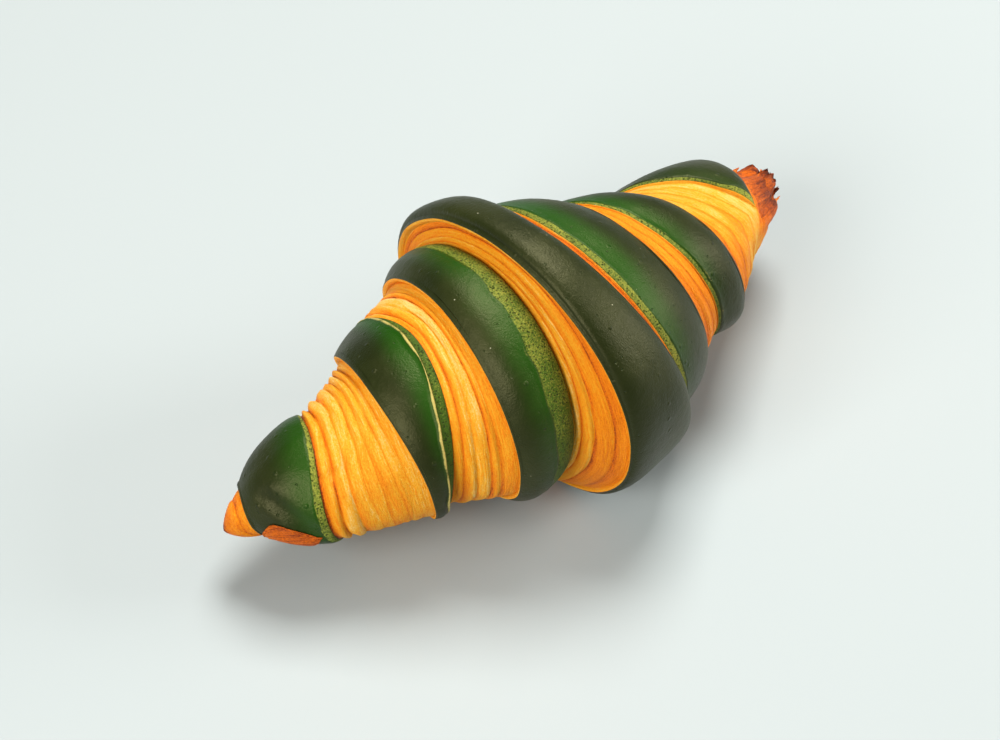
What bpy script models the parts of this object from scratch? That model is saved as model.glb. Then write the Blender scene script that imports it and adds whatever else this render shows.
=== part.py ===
"""A two-colour croissant: a green dough skin over golden layers.

A long dough triangle is rolled up from its base. Its point lies outermost, on the back of the roll, and
its two cut edges wind inwards from there to the two tips. Each cut edge is a raised lip of the green skin
with the golden layers below it, and those layers run down to a foot on the next turn. So the surface is
three patches: the skin of the outer turn, and on either side a winding strip that goes from a lip down
its golden side to the foot, and over the next turn's green skin to that turn's lip.

Units are metres. +X runs from the left tip to the right tip, +Y to the back and +Z up. Winding angles are
in degrees: 0 is the back, 90 the top, 180 the front, 270 the underside, and each turn adds 360 inwards.
"""
import bmesh
import bpy
import numpy as np

MM = 0.001
WELD_DISTANCE = 0.001 * MM
FLAT_SNAP = 0.02 * MM            # points this near the table plane lie on it
QUARTER_TURN = 90.0             # degrees

# The roll as a whole
LENGTH = 168.0 * MM
AXIS_HEIGHT = 32.4 * MM         # above the table, so low that the underside of the roll is cut flat
TIP_DROP = 17.6 * MM            # the tips' axis lies this much lower
TIP_BEND = 14.0 * MM            # and this far towards the back
WIDTH_FACTOR = 1.04             # the turns are a little wider than tall
HEIGHT_FACTOR = 0.96

# The winding
TURNS = 4
STEPS_PER_TURN = 36
STEP_ANGLE = 360.0 / STEPS_PER_TURN
POINT_ANGLE = -40.0             # where the triangle's point lies
END_ANGLE = POINT_ANGLE + 360.0 * TURNS
POINT_SPREAD = 75.0             # the point widens to the full band over this angle
CORE_END = 60.0                 # the innermost edge runs into the tip over this angle
CORE_START = 60.0               # the strip that ends on it becomes the tip's over this angle
SETTLE_ANGLE = 110.0            # before it passes under the point the outer turn sinks over this angle

# Lip and foot of each cut edge at every quarter turn, from the back of the outer turn inwards, in mm:
# how far along the roll and how far from its axis.
LEFT_LIP = (
    (-17.2, 37.6), (-12.3, 37.3), (-9.6, 37.4), (-13.1, 34.8),
    (-26.5, 29.6), (-26.3, 29.2), (-29.3, 28.0), (-32.2, 25.0),
    (-45.1, 20.9), (-45.5, 21.3), (-45.9, 22.3), (-49.4, 19.6),
    (-73.5, 8.1), (-76.9, 7.8), (-77.4, 6.8), (-70.1, 10.0), (-72.0, 8.0),
)
LEFT_FOOT = (
    (-18.2, 31.2), (-14.1, 28.7), (-16.7, 26.7), (-24.7, 25.1),
    (-38.8, 23.7), (-33.4, 23.2), (-40.9, 20.4), (-46.0, 19.1),
    (-58.3, 13.1), (-59.9, 12.9), (-65.5, 15.0), (-62.4, 14.2), (-66.0, 11.0),
)
RIGHT_LIP = (
    (-4.2, 35.2), (-3.7, 35.1), (7.4, 34.2), (19.2, 32.0),
    (10.7, 27.9), (13.5, 26.8), (21.3, 25.5), (32.5, 23.1),
    (18.4, 22.3), (30.7, 21.9), (38.5, 21.1), (48.4, 17.1),
    (73.6, 11.7), (60.7, 13.5), (54.3, 11.9), (64.2, 9.6), (70.0, 8.6),
)
RIGHT_FOOT = (
    (-1.6, 31.6), (-0.4, 31.1), (8.4, 30.5), (20.7, 27.4),
    (12.2, 24.3), (19.2, 23.7), (29.6, 20.7), (38.1, 18.3),
    (30.2, 19.1), (47.8, 16.8), (63.4, 12.5), (60.1, 10.5), (64.0, 10.0),
)
SKIN_BULGE_LEFT = (1.6, 2.4, 2.8, 1.4, 0.3, 0.9, 1.0, 0.8, 2.2, 2.6, 2.0, 0.8)
SKIN_BULGE_RIGHT = (1.4, 1.4, 1.4, 0.8, 1.2, 1.2, 1.0, 0.8, 3.2, 3.2, 0.6, 0.4)
OUTER_BULGE = 2.3               # rise of the outer turn's skin between its lips, mm
OUTER_FULLNESS = 2.5            # 2 would make that rise an ellipse, more makes its shoulders fuller
FOOT_CLEARANCE = (0.4, 0.6)     # a foot keeps this far from its own lip and from the next, mm
LEFT_TIP_ROUNDNESS = 1.45       # 1 is a cone, 2 an ellipse
RIGHT_TIP_TAPER = 0.48          # the flaky right tip narrows by this share and ends blunt
RIGHT_TIP_BLUNTNESS = 8
RIGHT_TIP_INSET = 6.0           # the middle of its end lies this much further in than its edge, mm
RIGHT_TIP_SLANT = 0.85          # its end leans by this much along the roll for its radius
RIGHT_TIP_SLANT_ANGLE = 38.0    # and reaches furthest at this winding angle
TIP_FLAKES = ((7, 0.4, 0.13), (11, 1.9, 0.07))   # its flakes: how many round it, phase, share of radius
LEFT_TIP_NOD = 1.2 * MM         # the left tip bows down by this much
RIGHT_TIP_LIFT = 3.0 * MM       # the right tip turns up by this much
NOD_LENGTH = 14.0 * MM          # both over this length

# A lip seen end on, in mm from its crest: outwards, and down
LIP_PROFILE = ((0.0, 0.0), (0.9, 0.7), (0.7, 1.7), (-0.6, 2.4))
LIP_FULL_HEIGHT = 5.0           # a lower cut edge has a smaller lip
FLAT_LIP_STEP = 0.25            # where the edge has no height its profile lies spread out, mm
CORE_LIP = 0.55                 # size of the innermost turn's lip
RIGHT_CORE_LIP_END = 1220.0     # the right one dies out at this winding angle
RIGHT_CORE_LIP_FADE = 60.0      # over this angle before it
GOLD_COLUMNS = 8
SKIN_COLUMNS = 5
RIDGE_HEIGHT = 0.45             # golden layers standing out between lip and foot, mm
RIDGES = 4
SIDE_HOLLOW = 0.4               # sag of the golden side below a straight line, mm

GREEN, GOLDEN = 0, 1            # the two materials
LIP_COLUMNS = len(LIP_PROFILE) - 1


def quarter_curve(stations, angle):
    """The value at a winding angle, on a smooth curve through the quarter-turn stations."""
    values = np.asarray(stations, float)
    place = np.clip(np.asarray(angle, float) / QUARTER_TURN, 0.0, len(values) - 1.0)
    start = np.minimum(np.floor(place).astype(int), len(values) - 2)
    part = place - start
    part = part.reshape(part.shape + (1,) * (values.ndim - 1))
    before, here, there, after = (
        values[np.clip(start + step, 0, len(values) - 1)] for step in (-1, 0, 1, 2))
    return 0.5 * (2 * here + (there - before) * part
                  + (2 * before - 5 * here + 4 * there - after) * part ** 2
                  + (3 * here - before - 3 * there + after) * part ** 3)


def ease(value):
    """A smooth step from 0 to 1."""
    value = np.clip(value, 0.0, 1.0)
    return value * value * (3.0 - 2.0 * value)


def point_growth(angle):
    """How far the outer turn has widened from the triangle's point, from 0 to 1."""
    part = np.clip((angle - POINT_ANGLE) / POINT_SPREAD, 0.0, 1.0)
    return np.sqrt(1.0 - (1.0 - part) ** 2)


def tip_end(side):
    """The place along the roll where a tip ends, on the axis, in mm."""
    return -LENGTH / MM / 2 if side < 0 else LENGTH / MM / 2 - RIGHT_TIP_INSET


def lips(angle):
    """The left and the right lip at a winding angle, each as place along the roll and radius, in mm."""
    left = quarter_curve(LEFT_LIP, angle)
    right = quarter_curve(RIGHT_LIP, angle)
    grown = point_growth(angle)
    if grown < 1.0:
        seat = quarter_curve(LEFT_FOOT, angle)[1]
        middle = np.array(((left[0] + right[0]) / 2, seat))
        left = middle + (left - middle) * grown
        right = middle + (right - middle) * grown
    sunk = ease((angle - END_ANGLE + CORE_END) / CORE_END)
    left = left + (np.array((tip_end(-1), 0.0)) - left) * sunk
    right = right + (np.array((tip_end(1), 0.0)) - right) * sunk
    return left, right


def foot(side, angle, lip, next_lip):
    """Where the golden side meets the next turn: between the two lips, and on the skin there."""
    stations = LEFT_FOOT if side < 0 else RIGHT_FOOT
    place, radius = quarter_curve(stations, angle)
    grown = point_growth(angle)
    if grown < 1.0:
        reach = place - quarter_curve(LEFT_LIP if side < 0 else RIGHT_LIP, angle)[0]
        place = lip[0] + reach
        radius = lip[1] + (radius - lip[1]) * grown
    low, high = sorted((lip[0] + side * FOOT_CLEARANCE[0], next_lip[0] - side * FOOT_CLEARANCE[1]))
    return np.array((min(max(place, low), high), radius))


def lip_scale(lip, foot_point):
    """The size of a lip, less where the cut edge is low."""
    return float(np.clip((lip[1] - foot_point[1]) / LIP_FULL_HEIGHT, 0.0, 1.0))


def strip_row(side, angle):
    """One row of a winding strip, from a lip to the next turn's lip, as place and radius in mm."""
    lip = lips(angle)[0 if side < 0 else 1]
    core_share = ease((angle + 360.0 - END_ANGLE + CORE_START) / CORE_START)
    if core_share >= 1.0:
        return tip_row(side, angle, lip)
    next_lip = lips(angle + 360.0)[0 if side < 0 else 1]
    seat = foot(side, angle, lip, next_lip)
    size = lip_scale(lip, seat)
    row = []
    for step, (out, down) in enumerate(LIP_PROFILE):
        spread = (1.0 - size) * FLAT_LIP_STEP * step
        row.append(lip + np.array((side * (size * out + spread), -size * down)))
    start = row[-1]
    for step in range(1, GOLD_COLUMNS + 1):
        part = step / GOLD_COLUMNS
        point = start + (seat - start) * part
        ridge = np.sin(np.pi * part) * np.cos(2 * np.pi * RIDGES * part)
        point[1] += size * (RIDGE_HEIGHT * ridge - SIDE_HOLLOW * np.sin(np.pi * part))
        row.append(point)
    bulges = SKIN_BULGE_LEFT if side < 0 else SKIN_BULGE_RIGHT
    width = abs(next_lip[0] - seat[0])
    bulge = min(float(quarter_curve(bulges, angle)), width / 3.0)
    for step in range(1, SKIN_COLUMNS + 1):
        part = step / SKIN_COLUMNS
        point = seat + (next_lip - seat) * part
        point[1] += bulge * np.sqrt(max(0.0, 1.0 - (2 * part - 1) ** 2))
        row.append(point)
    row = np.array(row)
    if core_share > 0.0:
        row += (tip_row(side, angle, lip) - row) * core_share
        row += np.linspace(0.0, 1.0, len(row))[:, None] ** 2 * (next_lip - row[-1])
    return row


def left_tip_shape(part):
    """The left tip's radius as a share, from its lip (0) to its end (1)."""
    return (1.0 - part ** LEFT_TIP_ROUNDNESS) ** (1.0 / LEFT_TIP_ROUNDNESS)


def right_tip_shape(part, angle):
    """The right tip's radius as a share, fluted by the ends of its layers."""
    flutes = sum(depth * np.cos(count * np.radians(angle) + phase) for count, phase, depth in TIP_FLAKES)
    bluntness = np.sqrt(max(0.0, 1.0 - part ** RIGHT_TIP_BLUNTNESS))
    return (1.0 - RIGHT_TIP_TAPER * part) * (1.0 + part * flutes) * bluntness


def tip_row(side, angle, lip):
    """One row of the innermost turn: from its lip round the golden tip to the end of the roll."""
    end = tip_end(side)
    slant = RIGHT_TIP_SLANT * np.cos(np.radians(angle - RIGHT_TIP_SLANT_ANGLE)) if side > 0 else 0.0
    size = CORE_LIP * min(1.0, lip[1] / LIP_FULL_HEIGHT)
    if side > 0:
        size *= 1.0 - ease((angle - RIGHT_CORE_LIP_END) / RIGHT_CORE_LIP_FADE + 1.0)
    row = [lip + size * np.array((side * out, -down)) for out, down in LIP_PROFILE]
    start = row[-1]
    for step in range(1, GOLD_COLUMNS + SKIN_COLUMNS + 1):
        part = np.sin(step / (GOLD_COLUMNS + SKIN_COLUMNS) * np.pi / 2)
        radius = start[1] * (left_tip_shape(part) if side < 0 else right_tip_shape(part, angle))
        row.append(np.array((start[0] + (end - start[0]) * part + slant * radius * part ** 2, radius)))
    return np.array(row)


def outer_row(angle):
    """One row of the outer turn's skin, from its left lip to its right lip."""
    under_left = strip_row(-1, POINT_ANGLE)[::-1]
    under_right = strip_row(1, POINT_ANGLE)[1:]
    under = np.vstack((under_left, under_right))
    under_share = (under[:, 0] - under[0, 0]) / (under[-1, 0] - under[0, 0])
    under_rise = under[:, 1] - (under[0, 1] + (under[-1, 1] - under[0, 1]) * under_share)
    settled = ease((angle - (POINT_ANGLE + 360.0 - SETTLE_ANGLE)) / SETTLE_ANGLE)
    share = np.linspace(0.0, 1.0, len(under)) * (1 - settled) + under_share * settled
    left, right = lips(angle)
    bulge = min(OUTER_BULGE, (right[0] - left[0]) / 3.0)
    rise = bulge * np.sqrt(np.clip(1.0 - np.abs(2 * share - 1) ** OUTER_FULLNESS, 0.0, 1.0))
    row = left + (right - left) * share[:, None]
    row[:, 1] += (1 - settled) * rise + settled * under_rise
    return row


def in_space(row, angle):
    """A row of places and radii as points in space, on the bent axis of the roll."""
    place = row[:, 0] * MM
    radius = row[:, 1] * MM
    part = place / (LENGTH / 2)
    left_share, right_share = (
        np.clip((side * place - LENGTH / 2) / NOD_LENGTH + 1.0, 0.0, None) ** 2 for side in (-1, 1))
    height = AXIS_HEIGHT - TIP_DROP * part ** 2 - LEFT_TIP_NOD * left_share + RIGHT_TIP_LIFT * right_share
    axis = np.stack((place, TIP_BEND * part ** 2, height), axis=1)
    along = np.stack((np.ones_like(part), 4 * TIP_BEND * part / LENGTH,
                      -4 * TIP_DROP * part / LENGTH), axis=1)
    along /= np.linalg.norm(along, axis=1, keepdims=True)
    back = np.stack((-along[:, 1], along[:, 0], np.zeros_like(part)), axis=1)
    back /= np.linalg.norm(back, axis=1, keepdims=True)
    up = np.cross(along, back)
    turn = np.radians(angle)
    return (axis + (radius * WIDTH_FACTOR * np.cos(turn))[:, None] * back
            + (radius * HEIGHT_FACTOR * np.sin(turn))[:, None] * up)


def add_patch(mesh, rows, material_at, flip):
    """A grid laid through the rows of points, its faces given a material by their step and column."""
    steps, columns = rows.shape[0] - 1, rows.shape[1] - 1
    made = bmesh.ops.create_grid(mesh, x_segments=columns, y_segments=steps, size=1.0)
    faces = {face for vert in made["verts"] for face in vert.link_faces}
    for face in faces:
        middle = face.calc_center_median()
        face.material_index = material_at(int((middle.y + 1.0) / 2.0 * steps),
                                          int((middle.x + 1.0) / 2.0 * columns))
    for vert in made["verts"]:
        column = round((vert.co.x + 1.0) / 2.0 * columns)
        step = round((vert.co.y + 1.0) / 2.0 * steps)
        vert.co = rows[step, column]
    if flip:
        bmesh.ops.reverse_faces(mesh, faces=list(faces))


def flatten_underside(mesh):
    """Cut the roll off level at the table plane, as its own weight flattens it there."""
    for vert in mesh.verts:
        if abs(vert.co.z) < FLAT_SNAP:
            vert.co.z = 0.0
    cut = bmesh.ops.bisect_plane(
        mesh, geom=mesh.verts[:] + mesh.edges[:] + mesh.faces[:], dist=WELD_DISTANCE,
        plane_co=(0.0, 0.0, 0.0), plane_no=(0.0, 0.0, -1.0), clear_outer=True)
    rim = [item for item in cut["geom_cut"] if isinstance(item, bmesh.types.BMEdge)]
    bmesh.ops.edgeloop_fill(mesh, edges=rim, mat_nr=GREEN)


def strip_material(step, column):
    """Green on a lip and on the skin, golden on the side between them and round the tips."""
    if column < LIP_COLUMNS - 1:
        return GREEN
    angle = POINT_ANGLE + step * STEP_ANGLE
    skin = column >= LIP_COLUMNS + GOLD_COLUMNS and angle < END_ANGLE - 360.0 - CORE_START / 2
    return GREEN if skin else GOLDEN


def dough_material(name, colour, roughness):
    """A plain dough finish."""
    material = bpy.data.materials.new(name)
    material.use_nodes = True
    shader = material.node_tree.nodes["Principled BSDF"]
    shader.inputs["Base Color"].default_value = (*colour, 1.0)
    shader.inputs["Roughness"].default_value = roughness
    shader.inputs["Metallic"].default_value = 0.0
    material.diffuse_color = (*colour, 1.0)
    return material


def build_croissant():
    """The whole roll as one closed body."""
    mesh = bmesh.new()
    all_angles = [POINT_ANGLE + STEP_ANGLE * step for step in range(STEPS_PER_TURN * TURNS + 1)]
    outer_angles = all_angles[:STEPS_PER_TURN + 1]
    outer = np.array([in_space(outer_row(angle), angle) for angle in outer_angles])
    add_patch(mesh, outer, lambda step, column: GREEN, flip=False)
    for side in (-1, 1):
        strip = np.array([in_space(strip_row(side, angle), angle) for angle in all_angles])
        add_patch(mesh, strip, strip_material, flip=side < 0)
    bmesh.ops.remove_doubles(mesh, verts=mesh.verts, dist=WELD_DISTANCE)
    bmesh.ops.dissolve_degenerate(mesh, edges=mesh.edges, dist=WELD_DISTANCE)
    flatten_underside(mesh)
    bmesh.ops.recalc_face_normals(mesh, faces=mesh.faces)
    corners = np.array([vert.co for vert in mesh.verts])
    middle = (corners.min(axis=0) + corners.max(axis=0)) / 2
    bmesh.ops.translate(mesh, verts=mesh.verts, vec=(-middle[0], -middle[1], 0.0))
    data = bpy.data.meshes.new("croissant")
    mesh.to_mesh(data)
    mesh.free()
    data.materials.append(dough_material("green dough", (0.020, 0.055, 0.014), 0.45))
    data.materials.append(dough_material("golden layers", (0.80, 0.38, 0.08), 0.55))
    data.shade_smooth()
    return bpy.data.objects.new("croissant", data)


def main():
    """Clear the scene and build the croissant in its own collection."""
    for old in list(bpy.data.objects):
        bpy.data.objects.remove(old, do_unlink=True)
    collection = bpy.data.collections.new("croissant")
    bpy.context.scene.collection.children.link(collection)
    collection.objects.link(build_croissant())


main()
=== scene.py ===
"""Looks of a two-colour croissant: a dark green satin dough skin over golden, finely layered sides.

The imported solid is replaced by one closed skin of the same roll, made at a finer step from the same
sizes, with the layers, rims and speckled strips that the solid leaves out. The ragged layers on the right
tip and the lining that shows under the left one are pieces of their own.

Places on the roll are in millimetres along its axis and from its axis. Winding angles are in degrees:
0 is the back, 90 the top, 180 the front, 270 the underside, and each turn adds 360 inwards.
"""
import logging
from dataclasses import dataclass
from enum import Enum, IntEnum
from functools import cached_property, partial
from typing import Any, Sequence

import bmesh
import bpy
import numpy as np
from mathutils import Matrix, Vector

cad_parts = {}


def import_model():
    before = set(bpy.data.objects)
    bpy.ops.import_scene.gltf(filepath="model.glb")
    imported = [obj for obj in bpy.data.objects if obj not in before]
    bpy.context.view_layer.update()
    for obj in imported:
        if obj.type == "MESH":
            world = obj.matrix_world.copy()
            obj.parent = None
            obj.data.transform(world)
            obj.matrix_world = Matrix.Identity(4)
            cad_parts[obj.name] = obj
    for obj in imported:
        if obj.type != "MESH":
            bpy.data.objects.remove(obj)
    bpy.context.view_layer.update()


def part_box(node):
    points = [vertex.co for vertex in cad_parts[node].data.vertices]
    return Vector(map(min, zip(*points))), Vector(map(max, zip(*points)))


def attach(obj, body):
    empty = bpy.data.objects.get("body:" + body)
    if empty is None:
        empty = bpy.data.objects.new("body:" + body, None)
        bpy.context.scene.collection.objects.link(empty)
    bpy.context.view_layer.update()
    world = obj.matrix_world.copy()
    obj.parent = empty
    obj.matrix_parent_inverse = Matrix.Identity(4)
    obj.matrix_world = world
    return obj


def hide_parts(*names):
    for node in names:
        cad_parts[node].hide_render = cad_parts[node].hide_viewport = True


LOG = logging.getLogger("croissant")
MM = 0.001
WELD_DISTANCE = 0.001 * MM
FULL_TURN = 360.0
QUARTER_TURN = 90.0

Array = np.ndarray
Colour = tuple[float, float, float]
Place = tuple[float, float, float]
Span = tuple[float, float]
Stations = tuple[Span, ...]


class Side(IntEnum):
    """The two cut edges of the dough, by their direction along the roll."""

    LEFT = -1
    RIGHT = 1


class Slot(IntEnum):
    """Material slots of the dough."""

    SKIN = 0
    LAYERS = 1


class Trait(IntEnum):
    """What the finishes read at a point of the dough; each three make one vector attribute."""

    PATH = 0
    ACROSS = 1
    SEED = 2
    RIDGE = 3
    TONE = 4
    SHADE = 5
    FRESH = 6
    SPECKLE = 7
    RIM = 8


class TraitVector(Enum):
    """The vector attributes, and the traits that each one holds."""

    FLOW = (Trait.PATH, Trait.ACROSS, Trait.SEED)
    BAKE = (Trait.RIDGE, Trait.TONE, Trait.SHADE)
    EDGE = (Trait.FRESH, Trait.SPECKLE, Trait.RIM)


def ease(value: Any) -> Any:
    """Return a smooth step from 0 to 1."""
    value = np.clip(value, 0.0, 1.0)
    return value * value * (3.0 - 2.0 * value)


def quarter_curve(stations: Sequence[Any], angle: float) -> Array:
    """Read a smooth curve through values given at every quarter turn.

    Args:
        stations: A number or a pair for each quarter turn, from angle 0.
        angle: The winding angle in degrees.

    Returns:
        The value there; past either end it stays that end's value.
    """
    values = np.asarray(stations, float)
    return curve_through(values, np.clip(angle / QUARTER_TURN, 0.0, len(values) - 1.0))


def curve_through(values: Array, place: Any) -> Array:
    """Read a smooth curve through a row of values.

    Args:
        values: The values at places 0, 1, 2 and so on.
        place: Where to read it, a number or an array.

    Returns:
        The value at each place.
    """
    place = np.asarray(place, float)
    start = np.minimum(np.floor(place).astype(int), len(values) - 2)
    part = place - start
    part = part.reshape(part.shape + (1,) * (values.ndim - 1))
    before, here, there, after = (
        values[np.clip(start + step, 0, len(values) - 1)] for step in (-1, 0, 1, 2))
    return 0.5 * (2 * here + (there - before) * part
                  + (2 * before - 5 * here + 4 * there - after) * part ** 2
                  + (3 * here - before - 3 * there + after) * part ** 3)


class GentleNoise:
    """Seeded noise from -1 to 1, smooth over two coordinates, with one bump to a unit."""

    CELLS = 64

    def __init__(self, seed: int) -> None:
        """Draw the lattice of random values."""
        self.lattice = np.random.default_rng(seed).uniform(-1.0, 1.0, (self.CELLS, self.CELLS))

    def at(self, first: Any, second: Any = 0.0) -> Array:
        """Read the noise.

        Args:
            first: The first coordinate, a number or an array.
            second: The second coordinate.

        Returns:
            The noise at each place.
        """
        first, second = np.broadcast_arrays(np.asarray(first, float), np.asarray(second, float))
        row, column = np.floor(first).astype(int), np.floor(second).astype(int)
        down, over = ease(first - row), ease(second - column)
        corners = [[self.lattice[(row + i) % self.CELLS, (column + j) % self.CELLS] for j in (0, 1)]
                   for i in (0, 1)]
        upper = corners[0][0] * (1 - over) + corners[0][1] * over
        lower = corners[1][0] * (1 - over) + corners[1][1] * over
        return upper * (1 - down) + lower * down


@dataclass
class Row:
    """One row of the dough's surface across the roll, with what the finishes read at each point."""

    points: Array
    traits: Array

    @classmethod
    def of(cls, points: Array, **values: Any) -> "Row":
        """Make a row from points and traits.

        Args:
            points: The points, as places and radii.
            values: The traits by name, numbers or arrays; the others are 0.

        Returns:
            The row.
        """
        traits = np.zeros((len(points), len(Trait)))
        for name, value in values.items():
            traits[:, Trait[name.upper()]] = value
        return cls(np.asarray(points, float), traits)

    @classmethod
    def joined(cls, rows: Sequence["Row"]) -> "Row":
        """Lay rows end to end."""
        return cls(np.vstack([row.points for row in rows]), np.vstack([row.traits for row in rows]))

    def part_of(self, start: int) -> "Row":
        """Return the row without its first points."""
        return Row(self.points[start:], self.traits[start:])

    def turned_round(self) -> "Row":
        """Return the row from its other end."""
        return Row(self.points[::-1], self.traits[::-1])

    def mixed(self, other: "Row", share: float) -> "Row":
        """Return this row with a share of another one in it."""
        return Row(self.points + (other.points - self.points) * share,
                   self.traits + (other.traits - self.traits) * share)


@dataclass(frozen=True)
class Fold:
    """One fold of the golden layers: a pale edge on its lip side and a slope that darkens to its foot. The
    pale edge is partly painted light on the side facing the light, and the darker slope partly painted shade;
    the rest is deeper baking.
    """

    width: float        # beside the other folds
    height: Span        # on top of the roll and in front of it, mm
    tone: Span          # of the pale edge there, from cream (0) to brown (1)
    # the darker foot side is partly painted shade
    rise: float         # how much darker the other side is

    def numbers(self) -> tuple[float, ...]:
        """Return all values but the width in one row."""
        return (*self.height, *self.tone, self.rise)


@dataclass(frozen=True)
class CutEdge:
    """One cut edge of the dough as it winds in to its tip, at every quarter turn from the back inwards."""

    side: Side
    lip: Stations                   # place along the roll and radius, mm
    foot: Stations
    bulge: tuple[float, ...]        # rise of the skin inside the foot, mm
    strip: tuple[float, ...]        # share of that skin which is the speckled strip
    # the strip's paleness is partly its own colour and partly painted shade: it is set low where the strip
    # lies in shade
    light: tuple[float, ...]        # how pale the strip is, from 0 to 1
    rim: tuple[float, ...]          # height of the curled rim between strip and skin, mm
    fresh: tuple[float, ...]        # how bright the green is beside the rim
    green_end: float                # the green ends at this winding angle
    foot_line: int                  # columns of the strip, from the foot, that are golden
    bands: tuple[tuple[Fold, ...], ...]     # the folds of each turn's golden side, from its lip to its foot

    BAND_MIDDLE = 130.0             # a band has its own folds at this angle of its turn
    BAND_HOLD = 0.3                 # and for this share of a turn after it

    def bands_at(self, angle: float) -> list[tuple[float, tuple[Fold, ...]]]:
        """Find the one or two bands of folds at a winding angle.

        Args:
            angle: The winding angle.

        Returns:
            Each band's share and its folds.
        """
        place = np.clip((angle - self.BAND_MIDDLE) / FULL_TURN, 0.0, len(self.bands) - 1.0)
        turn = min(int(place), len(self.bands) - 2)
        share = float(ease((place - turn - self.BAND_HOLD) / (1.0 - 2 * self.BAND_HOLD)))
        found = [(1.0 - share, self.bands[turn]), (share, self.bands[turn + 1])]
        return [(part, band) for part, band in found if part > 0.0]


LEFT_EDGE = CutEdge(
    side=Side.LEFT,
    lip=((-17.2, 37.6), (-12.3, 37.3), (-9.6, 37.4), (-13.1, 34.8),
         (-26.5, 29.6), (-26.3, 29.2), (-29.3, 28.0), (-32.2, 25.0),
         (-45.1, 20.9), (-45.5, 21.3), (-45.9, 22.3), (-49.4, 19.6),
         (-73.5, 8.1), (-76.9, 7.8), (-77.4, 6.8), (-70.1, 10.0), (-72.0, 8.0)),
    foot=((-18.2, 31.2), (-14.1, 28.7), (-16.7, 26.7), (-24.7, 25.1),
          (-38.8, 23.7), (-33.4, 23.2), (-40.9, 20.4), (-46.0, 19.1),
          (-58.3, 13.1), (-59.9, 12.9), (-65.5, 15.0), (-62.4, 14.2), (-66.0, 11.0)),
    bulge=(1.6, 2.4, 2.8, 1.4, 0.3, 0.9, 1.0, 0.8, 2.2, 2.6, 2.0, 0.8),
    strip=(0.28, 0.33, 0.46, 0.30, 0.03, 0.12, 0.32, 0.15, 0.02, 0.05, 0.15, 0.10),
    light=(0.8, 0.75, 0.45, 0.2, 0.3, 0.35, 0.12, 0.05, 0.9, 1.0, 0.75, 0.3),
    rim=(0.05, 0.07, 0.07, 0.05, 0.2, 0.55, 0.42, 0.08, 0.05, 0.05, 0.05, 0.05),
    fresh=(0.15, 0.75, 0.35, 0.1, 0.2, 1.0, 0.3, 0.1, 0.3, 0.7, 0.6, 0.2),
    green_end=1400.0,
    foot_line=0,
    bands=(
        (Fold(0.28, (0.40, 0.25), (0.42, 0.50), 0.12), Fold(0.34, (0.35, 0.35), (0.26, 0.50), 0.12),
         Fold(0.21, (0.30, 0.80), (0.24, 0.26), 0.24), Fold(0.17, (0.30, 0.60), (0.34, 0.18), 0.12)),
        (Fold(0.30, (0.30, 0.20), (0.26, 0.36), 0.08), Fold(0.13, (0.50, 0.45), (0.24, 0.30), 0.46),
         Fold(0.22, (0.60, 0.50), (0.12, 0.26), 0.10), Fold(0.22, (0.80, 0.70), (0.14, 0.20), 0.40),
         Fold(0.13, (0.40, 0.35), (0.28, 0.34), 0.12)),
        (Fold(0.15, (0.90, 0.05), (0.16, 0.16), 0.10), Fold(0.12, (0.90, 0.04), (0.26, 0.24), 0.08),
         Fold(0.15, (1.00, 0.06), (0.22, 0.30), 0.08), Fold(0.11, (0.90, 0.08), (0.28, 0.30), 0.08),
         Fold(0.17, (0.90, 0.30), (0.22, 0.32), 0.24), Fold(0.17, (1.30, 1.30), (0.12, 0.14), 0.40),
         Fold(0.13, (1.30, 1.20), (0.22, 0.22), 0.48)),
        (Fold(0.40, (0.50, 0.50), (0.38, 0.42), 0.20), Fold(0.60, (0.70, 0.70), (0.44, 0.50), 0.34))))

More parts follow.
